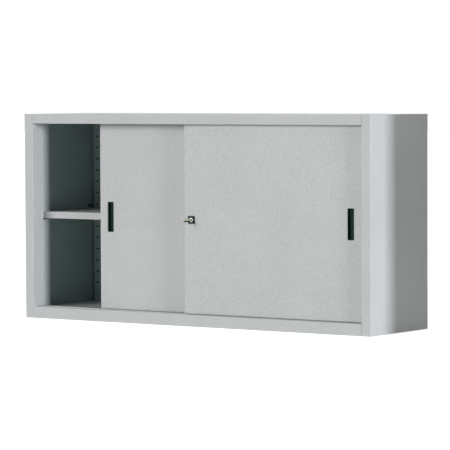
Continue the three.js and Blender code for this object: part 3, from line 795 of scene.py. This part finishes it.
# Each row of the handle is an inset from its outline and a depth: from the cup's floor up its wall, over
# the frame and back down outside the cup
def makeHandle(door):
    name = door + "_handle"
    low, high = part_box(name)
    half = np.array([high.x - low.x, high.z - low.z]) / 2
    shape = handleShape
    insetOut, riseOut = roundEdge(shape["edge"])
    insetIn, riseIn = roundEdge(shape["mouth"])
    roundIn, riseRound = roundEdge(shape["floorRound"])
    mouthInset, cupInset = shape["frame"], shape["cupSetIn"]
    floorInset, floorDepth = mouthInset + shape["lean"], high.y - shape["wall"]
    profile = [(floorInset + shape["floorRound"] - rise, floorDepth - shape["floorRound"] + inset)
               for rise, inset in zip(riseRound, roundIn)]
    profile += [(mouthInset, low.y + shape["mouth"])]
    profile += [(mouthInset - inset, low.y + rise) for inset, rise in zip(insetIn[1:], riseIn[1:])]
    profile += [(inset, low.y + rise) for inset, rise in zip(insetOut[::-1], riseOut[::-1])]
    profile += [(0, low.y + shape["flange"]), (cupInset, low.y + shape["flange"])]
    profile += [(cupInset, high.y - shape["edge"]), (cupInset + shape["edge"], high.y)]
    insets, depths = np.array(profile).T
    radii = np.maximum(shape["corner"] - insets * shape["cornerLoss"], shape["edge"])
    rows = rectangleRows(centreOf(low, high), half[None] - insets[:, None], radii, depths)
    rowPiece(name + "_moulding", door, "black_plastic", rows, [name])


for door in doors:
    makeHandle(door)
print("doors made")

# Rollers and axles: turned nylon wheels with a groove that runs on the track's rib, on plated pins
rollerShape = {
    "flange": 1.5 * mm,
    "groove": 3.4 * mm,
    "edge": 0.5 * mm,
    "boreClearance": 0.1 * mm,
    "axleChamfer": 0.3 * mm,
    "axleSteps": 24,
}


def makeRoller(door, side):
    name = f"{door}_{side}_roller"
    low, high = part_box(name)
    centre = centreOf(low, high)
    axleLow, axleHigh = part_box(f"{door}_{side}_axle")
    radius = (axleHigh.x - axleLow.x) / 2
    rim, bore = (high.x - low.x) / 2, radius + rollerShape["boreClearance"]
    tread, edge = rim - rollerShape["flange"], rollerShape["edge"]
    middle = (low.y + high.y) / 2
    grooveFront, grooveBack = middle + bothEnds * rollerShape["groove"]
    profile = [
        (bore, low.y), (rim - edge, low.y), (rim, low.y + edge), (rim, grooveFront - edge),
        (tread, grooveFront), (tread, grooveBack), (rim, grooveBack + edge), (rim, high.y - edge),
        (rim - edge, high.y), (bore, high.y),
    ]
    rows = turnedRows(centre, profile)
    rowPiece(name + "_turned", f"{door}_{side}_wheel", "white_nylon", rows, [name], ring=True)
    chamfer = rollerShape["axleChamfer"]
    profile = [(radius - chamfer, axleLow.y), (radius, axleLow.y + chamfer),
               (radius, axleHigh.y - chamfer), (radius - chamfer, axleHigh.y)]
    rows = turnedRows(centre, profile, rollerShape["axleSteps"])
    rowPiece(f"{door}_{side}_axle_turned", door, "zinc_steel", rows, [f"{door}_{side}_axle"])


for door in doors:
    for side in sideSigns:
        makeRoller(door, side)

# Lock: a square plate with round edges, the barrel's rim standing proud of it, and a black disc over
# the keyway: painted shade for the dark keyway and the shadow round the key's blade
lockShape = {
    "corner": 3 * mm,
    "cornerSteps": 7,
    "edge": 0.8 * mm,
    "rim": 0.6 * mm,
    "boreClearance": 0.1 * mm,
    "barrelClearance": 0.2 * mm,
    "shadeRadius": 5.2 * mm,
    "shadeProud": 0.5 * mm,
    "shadeSunk": 0.5 * mm,
}


def makeLock():
    low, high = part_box("lock_plate")
    barrelLow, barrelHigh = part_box("lock_barrel")
    plugLow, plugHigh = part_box("lock_plug")
    centre = centreOf(low, high)
    half = np.full(2, (high.x - low.x) / 2)
    inset, rise = roundEdge(lockShape["edge"])
    insets = np.array([0, *inset])
    depths = np.array([high.y, *(low.y + rise)])
    radii = np.maximum(lockShape["corner"] - insets, lockShape["edge"])
    rows = rectangleRows(centre, half[None] - insets[:, None], radii, depths, lockShape["cornerSteps"])
    barrelRadius = (barrelHigh.x - barrelLow.x) / 2
    hole = rows[-1] - np.array([centre[0], 0, centre[1]])
    hole[:, 1] = 0
    hole *= (barrelRadius + lockShape["barrelClearance"]) / np.linalg.norm(hole, axis=1)[:, None]
    hole += np.array([centre[0], 0, centre[1]])
    inner = np.repeat(hole[None], 2, axis=0)
    inner[0, :, 1], inner[1, :, 1] = low.y, high.y
    rows = np.concatenate([rows, inner])
    rowPiece("lock_plate_moulding", "front_door", "black_plastic", rows, ["lock_plate"], ring=True)
    bore = (plugHigh.x - plugLow.x) / 2 + lockShape["boreClearance"]
    rim = lockShape["rim"]
    profile = [
        (bore, barrelHigh.y), (bore, barrelLow.y + rim), (bore + rim, barrelLow.y),
        (barrelRadius - rim, barrelLow.y), (barrelRadius, barrelLow.y + rim), (barrelRadius, barrelHigh.y),
    ]
    rows = turnedRows(centre, profile)
    rowPiece("lock_barrel_turned", "front_door", "nickel", rows, ["lock_barrel"], ring=True)
    # The black disc round the blade is painted shade in the keyway
    radius, proud, sunk = (lockShape[name] for name in ("shadeRadius", "shadeProud", "shadeSunk"))
    profile = [(radius, plugLow.y + sunk), (radius, plugLow.y), (radius - proud, plugLow.y - proud)]
    rowPiece("keyway_painted_shade", "lock_core", "black_plastic", turnedRows(centre, profile))


makeLock()

# Key: a nickel blade that widens into a long flat bow, with black plastic along the bow's lower half
keyShape = {
    "bladeHeight": 7 * mm,
    "bladePoint": 2 * mm,
    "bowStart": 6 * mm,
    "bowHeight": 10.4 * mm,
    "bowDrop": 1.7 * mm,
    "opening": 20,                   # degrees of the bow's outline left open for the blade, on each side
    "darkHeight": 5.2 * mm,
    "darkDrop": 2.3 * mm,
    "darkProud": 0.5 * mm,           # how far the black half reaches past the bow at its tip
    "shoulder": 4,                   # power of the rounded ends: 2 is an ellipse, more is squarer
    "steps": 48,
    "edge": 0.4 * mm,
    "darkThickness": 5 * mm,
    "darkEdge": 0.8 * mm,
}


# A plate in the YZ plane with rounded rims: rows of one outline, each drawn in by the edge's inset along
# the normal, which is the step between a point's two neighbours, turned a quarter turn
def plateRows(outline, halfThickness, edge, centre):
    inset, rise = roundEdge(edge)
    insets = np.concatenate([inset[::-1], inset])
    across = np.concatenate([-halfThickness + rise[::-1], halfThickness - rise])
    step = np.roll(outline, -1, axis=0) - np.roll(outline, 1, axis=0)
    normal = np.stack([-step[:, 1], step[:, 0]], axis=1)
    normal /= np.linalg.norm(normal, axis=1)[:, None]
    rows = np.zeros((len(insets), len(outline), 3))
    rows[..., 0] = centre[0] + across[:, None]
    rows[..., 1:] = outline + normal * insets[:, None, None]
    return rows


# A rounded bar's outline, open at the neck: (depth, level) = centre + reach and half height times cos
# and sin of the turn, each to the power 2 over the shoulder
def barArc(neckEnd, tip, level, height, opening):
    turns = np.radians(np.linspace(opening, 360 - opening, keyShape["steps"]))
    power = 2 / keyShape["shoulder"]
    along = np.sign(np.cos(turns)) * abs(np.cos(turns)) ** power
    up = np.sign(np.sin(turns)) * abs(np.sin(turns)) ** power
    middle, reach = (neckEnd + tip) / 2, (neckEnd - tip) / 2
    return np.stack([middle + reach * along, level + height / 2 * up], axis=1)


def makeKey():
    low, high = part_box("key")
    centre = centreOf(low, high)
    level = centre[1]
    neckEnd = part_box("lock_barrel")[0].y - keyShape["bowStart"]
    half, point = keyShape["bladeHeight"] / 2, keyShape["bladePoint"]
    blade = np.array([[high.y, half / 2], [high.y - point, half], [neckEnd + point, half]])
    bowTip = low.y + keyShape["darkProud"]
    bow = barArc(neckEnd, bowTip, level - keyShape["bowDrop"], keyShape["bowHeight"], keyShape["opening"])
    outline = np.vstack([bow, (blade * [1, -1] + [0, level])[::-1], blade + [0, level]])
    rows = plateRows(outline, (high.x - low.x) / 2, keyShape["edge"], centre)
    rowPiece("key_blade", "key_body", "nickel", rows, ["key"])
    darkLevel = level - keyShape["darkDrop"] - keyShape["darkHeight"] / 2
    halfStep = 180 / keyShape["steps"]     # degrees, so that the outline closes with a step like the rest
    outline = barArc(neckEnd, low.y, darkLevel, keyShape["darkHeight"], halfStep)
    rows = plateRows(outline, keyShape["darkThickness"] / 2, keyShape["darkEdge"], centre)
    rowPiece("key_dark_lower_half", "key_body", "black_plastic", rows)


makeKey()
print("lock and key made")

# Camera: the place and turn that were fitted to the cabinet's straight edges in the photograph. Angles are
# in degrees, lens and sensor in millimetres, the place and clip distances in metres.
camera = {
    "place": (6.851, -9.734, 1.019),
    "yaw": 35.054,
    "pitch": 2.87,
    "roll": 0.257,
    "lens": 221.6,
    "sensor": 36,
    "clip": (0.1, 200),
}


# Ahead is (-sin yaw * cos pitch, cos yaw * cos pitch, -sin pitch). The level line to its right and the one
# down are turned about it by the roll, as cos roll * one plus or minus sin roll * the other.
def addCamera():
    yaw, pitch, roll = (math.radians(camera[name]) for name in ("yaw", "pitch", "roll"))
    ahead = np.array([-math.sin(yaw) * math.cos(pitch), math.cos(yaw) * math.cos(pitch), -math.sin(pitch)])
    level = np.array([math.cos(yaw), math.sin(yaw), 0])
    down = np.cross(ahead, level)
    right = math.cos(roll) * level + math.sin(roll) * down
    down = math.cos(roll) * down - math.sin(roll) * level
    lens = bpy.data.cameras.new("camera")
    lens.lens, lens.sensor_width = camera["lens"], camera["sensor"]
    lens.clip_start, lens.clip_end = camera["clip"]
    eye = addObject("camera", lens)
    turned = Matrix(np.stack([right, -down, -ahead], axis=1).tolist()).to_4x4()
    eye.matrix_world = Matrix.Translation(camera["place"]) @ turned
    bpy.context.scene.camera = eye


addCamera()

# Light: a wide soft source far off at the left in front, a tall one far round at the right, and a pale
# world. The sun lamp has a width in degrees and a strength; the area lamp has its size in metres and its
# power in watts. Directions are degrees left of the front, and degrees up.
leftLight = {
    "left": 25,
    "up": 20,
    "width": 32,
    "strength": 1.53,
    "colour": "#FFFEFB",
    "distance": 10,
    "aim": (0, 0, 0),
}
rightLight = {
    "left": -80,
    "up": 3,
    "size": (6.2, 4.2),
    "power": 13000,
    "colour": "#F7FAFF",
    "distance": 40,
    "aim": (0.9, -0.06, 0.45),
}

# The world glows from dim to bright the more a ray leans to the left, and a round, soft-edged patch of
# backdrop high behind the cabinet adds to that: the bend along the top edge catches it. The patch's edge
# is given as cosines of the angle from its middle.
world = {
    "dimColour": "#D4E9E8",
    "brightColour": "#F8F8F6",
    "dim": 0.06,
    "bright": 0.7,
    "left": (-0.8, -0.6, 0.1),
    "backdrop": 1.4,
    "behind": (-0.45, 0.75, 0.48),
    "backdropEdge": (0.82, 0.97),
}

# A grey card between the right lamp and the side: its edge ends the lamp's light in an upright, soft
# line down the side. It glows dimly, more towards its foot and its top and less towards its back:
# strength = (glow + rise * (level - dimmest) squared * (fade level - level)) * share of the depth
flagCard = {
    "x": 1.5,
    "yEdge": -0.18,
    "yEnd": 0.5,
    "top": 1.3,
    "thickness": 4 * mm,
    "glow": 0.2,
    "glowRise": 12,
    "dimmest": 0.45,
    "fadeLevel": 1.6,
    "backFade": (-0.1, 0.3),
    "backShare": 0.2,
}


# The turn and place of a lamp that shines at its aim from so many degrees left of the front and up: back,
# its own Z, is (-sin left * cos up, -cos left * cos up, sin up)
def lampMatrix(lamp):
    left, up = math.radians(lamp["left"]), math.radians(lamp["up"])
    back = np.array([-math.sin(left) * math.cos(up), -math.cos(left) * math.cos(up), math.sin(up)])
    right = np.cross((0, 0, 1), back)
    right /= np.linalg.norm(right)
    turn = Matrix(np.stack([right, np.cross(back, right), back], axis=1).tolist()).to_4x4()
    return Matrix.Translation((np.array(lamp["aim"]) + back * lamp["distance"]).tolist()) @ turn


def addLamps():
    far = bpy.data.lights.new("left_light", "SUN")
    far.angle, far.energy = math.radians(leftLight["width"]), leftLight["strength"]
    tall = bpy.data.lights.new("right_light", "AREA")
    tall.shape, tall.energy = "RECTANGLE", rightLight["power"]
    tall.size, tall.size_y = rightLight["size"]
    for data, lamp in ((far, leftLight), (tall, rightLight)):
        data.color = linear(lamp["colour"])[:3]
        addObject(data.name, data).matrix_world = lampMatrix(lamp)


addLamps()


# Left share = a smooth step of the ray's dot product with the left, back light = the backdrop's strength
# * a smooth step of that with the direction behind, and strength = dim to bright by left share + back
# light. The camera and glass see plain white instead.
def addWorld():
    sky = bpy.data.worlds.new("studio")
    sky.use_nodes = True
    tree = sky.node_tree
    tree.nodes.clear()
    path = addNode(tree, "ShaderNodeLightPath", {})
    seen = addNode(tree, "ShaderNodeMath", {"operation": "MAXIMUM"},
                   {0: path.outputs["Is Camera Ray"], 1: path.outputs["Is Transmission Ray"]})
    ray = addNode(tree, "ShaderNodeTexCoord", {}).outputs["Generated"]
    left, behind = (world[name] / np.linalg.norm(world[name]) for name in ("left", "behind"))
    toLeft, toBack = (addNode(tree, "ShaderNodeVectorMath",
                              {"operation": "DOT_PRODUCT", 1: direction.tolist()}, {0: ray})
                      for direction in (left, behind))
    leftShare = addNode(tree, "ShaderNodeMapRange", {"interpolation_type": "SMOOTHSTEP"},
                        {"Value": toLeft.outputs["Value"]})
    low, high = world["backdropEdge"]
    backLight = addNode(tree, "ShaderNodeMapRange",
                        {"interpolation_type": "SMOOTHSTEP", "From Min": low, "From Max": high,
                         "To Max": world["backdrop"]}, {"Value": toBack.outputs["Value"]})
    lit = addNode(tree, "ShaderNodeMath", {"operation": "ADD", "use_clamp": True},
                  {0: leftShare.outputs[0], 1: backLight.outputs[0]})
    tint = addNode(tree, "ShaderNodeMix",
                   {"data_type": "RGBA", 6: linear(world["dimColour"]), 7: linear(world["brightColour"])},
                   {0: lit.outputs[0]})
    sideLight = addNode(tree, "ShaderNodeMapRange", {"To Min": world["dim"], "To Max": world["bright"]},
                        {"Value": leftShare.outputs[0]})
    strength = addNode(tree, "ShaderNodeMath", {"operation": "ADD"},
                       {0: sideLight.outputs[0], 1: backLight.outputs[0]})
    fill = addNode(tree, "ShaderNodeBackground", {},
                   {"Color": tint.outputs[2], "Strength": strength.outputs[0]})
    white = addNode(tree, "ShaderNodeBackground", {"Color": (1, 1, 1, 1), "Strength": 1})
    mixed = addNode(tree, "ShaderNodeMixShader", {},
                    {0: seen.outputs[0], 1: fill.outputs[0], 2: white.outputs[0]})
    addNode(tree, "ShaderNodeOutputWorld", {}, {"Surface": mixed.outputs[0]})
    bpy.context.scene.world = sky


addWorld()


def addFlag():
    card = flagCard
    near, far = card["x"], card["x"] + card["thickness"]
    corners = [(near, card["yEdge"]), (far, card["yEdge"]), (far, card["yEnd"]), (near, card["yEnd"])]
    mesh = bpy.data.meshes.new("grey_card")
    mesh.from_pydata([(x, y, z) for z in (0, card["top"]) for x, y in corners], [],
                     [(0, 1, 2, 3), (7, 6, 5, 4), (0, 4, 5, 1), (1, 5, 6, 2), (2, 6, 7, 3), (3, 7, 4, 0)])
    material, tree = startMaterial("grey_card")
    place = addNode(tree, "ShaderNodeTexCoord", {}).outputs["Object"]
    axes = addNode(tree, "ShaderNodeSeparateXYZ", {}, {0: place})
    level = axes.outputs["Z"]
    away = addNode(tree, "ShaderNodeMath", {"operation": "SUBTRACT", 1: card["dimmest"]}, {0: level})
    square = addNode(tree, "ShaderNodeMath", {"operation": "MULTIPLY"},
                     {0: away.outputs[0], 1: away.outputs[0]})
    fade = addNode(tree, "ShaderNodeMath", {"operation": "SUBTRACT", 0: card["fadeLevel"]}, {1: level})
    faded = addNode(tree, "ShaderNodeMath", {"operation": "MULTIPLY"},
                    {0: square.outputs[0], 1: fade.outputs[0]})
    upright = addNode(tree, "ShaderNodeMath",
                      {"operation": "MULTIPLY_ADD", 1: card["glowRise"], 2: card["glow"]},
                      {0: faded.outputs[0]})
    start, end = card["backFade"]
    depth = addNode(tree, "ShaderNodeMapRange",
                    {"From Min": start, "From Max": end, "To Min": 1, "To Max": card["backShare"]},
                    {"Value": axes.outputs["Y"]})
    strength = addNode(tree, "ShaderNodeMath", {"operation": "MULTIPLY"},
                       {0: upright.outputs[0], 1: depth.outputs[0]})
    glow = addNode(tree, "ShaderNodeEmission", {"Color": linear(world["brightColour"])},
                   {"Strength": strength.outputs[0]})
    addNode(tree, "ShaderNodeOutputMaterial", {}, {"Surface": glow.outputs[0]})
    mesh.materials.append(material)
    flag = addObject("grey_card", mesh)
    flag.visible_camera = False


addFlag()

# Floor: pale and plain. What the camera and mirrors see of it is lifted to white, less where a shadow
# lies. Half size in metres.
floorShape = {"halfSize": 40, "drop": 0.2 * mm, "colour": "#E6E6E6", "lift": 0.84}


def addFloor():
    half, z = floorShape["halfSize"], -floorShape["drop"]
    mesh = bpy.data.meshes.new("floor")
    corners = [(-half, -half, z), (half, -half, z), (half, half, z), (-half, half, z)]
    mesh.from_pydata(corners, [], [(0, 1, 2, 3)])
    material, tree = startMaterial("pale_floor")
    path = addNode(tree, "ShaderNodeLightPath", {})
    seen = addNode(tree, "ShaderNodeMath", {"operation": "MAXIMUM"},
                   {0: path.outputs["Is Camera Ray"], 1: path.outputs["Is Glossy Ray"]})
    lift = addNode(tree, "ShaderNodeMath", {"operation": "MULTIPLY", 1: floorShape["lift"]},
                   {0: seen.outputs[0]})
    shader = addNode(tree, "ShaderNodeBsdfDiffuse", {"Color": linear(floorShape["colour"])})
    glow = addNode(tree, "ShaderNodeEmission", {}, {"Strength": lift.outputs[0]})
    added = addNode(tree, "ShaderNodeAddShader", {}, {0: shader.outputs[0], 1: glow.outputs[0]})
    addNode(tree, "ShaderNodeOutputMaterial", {}, {"Surface": added.outputs[0]})
    mesh.materials.append(material)
    addObject("floor", mesh)


addFloor()
bpy.context.scene.view_settings.view_transform = "Standard"
print("camera, light and floor set")
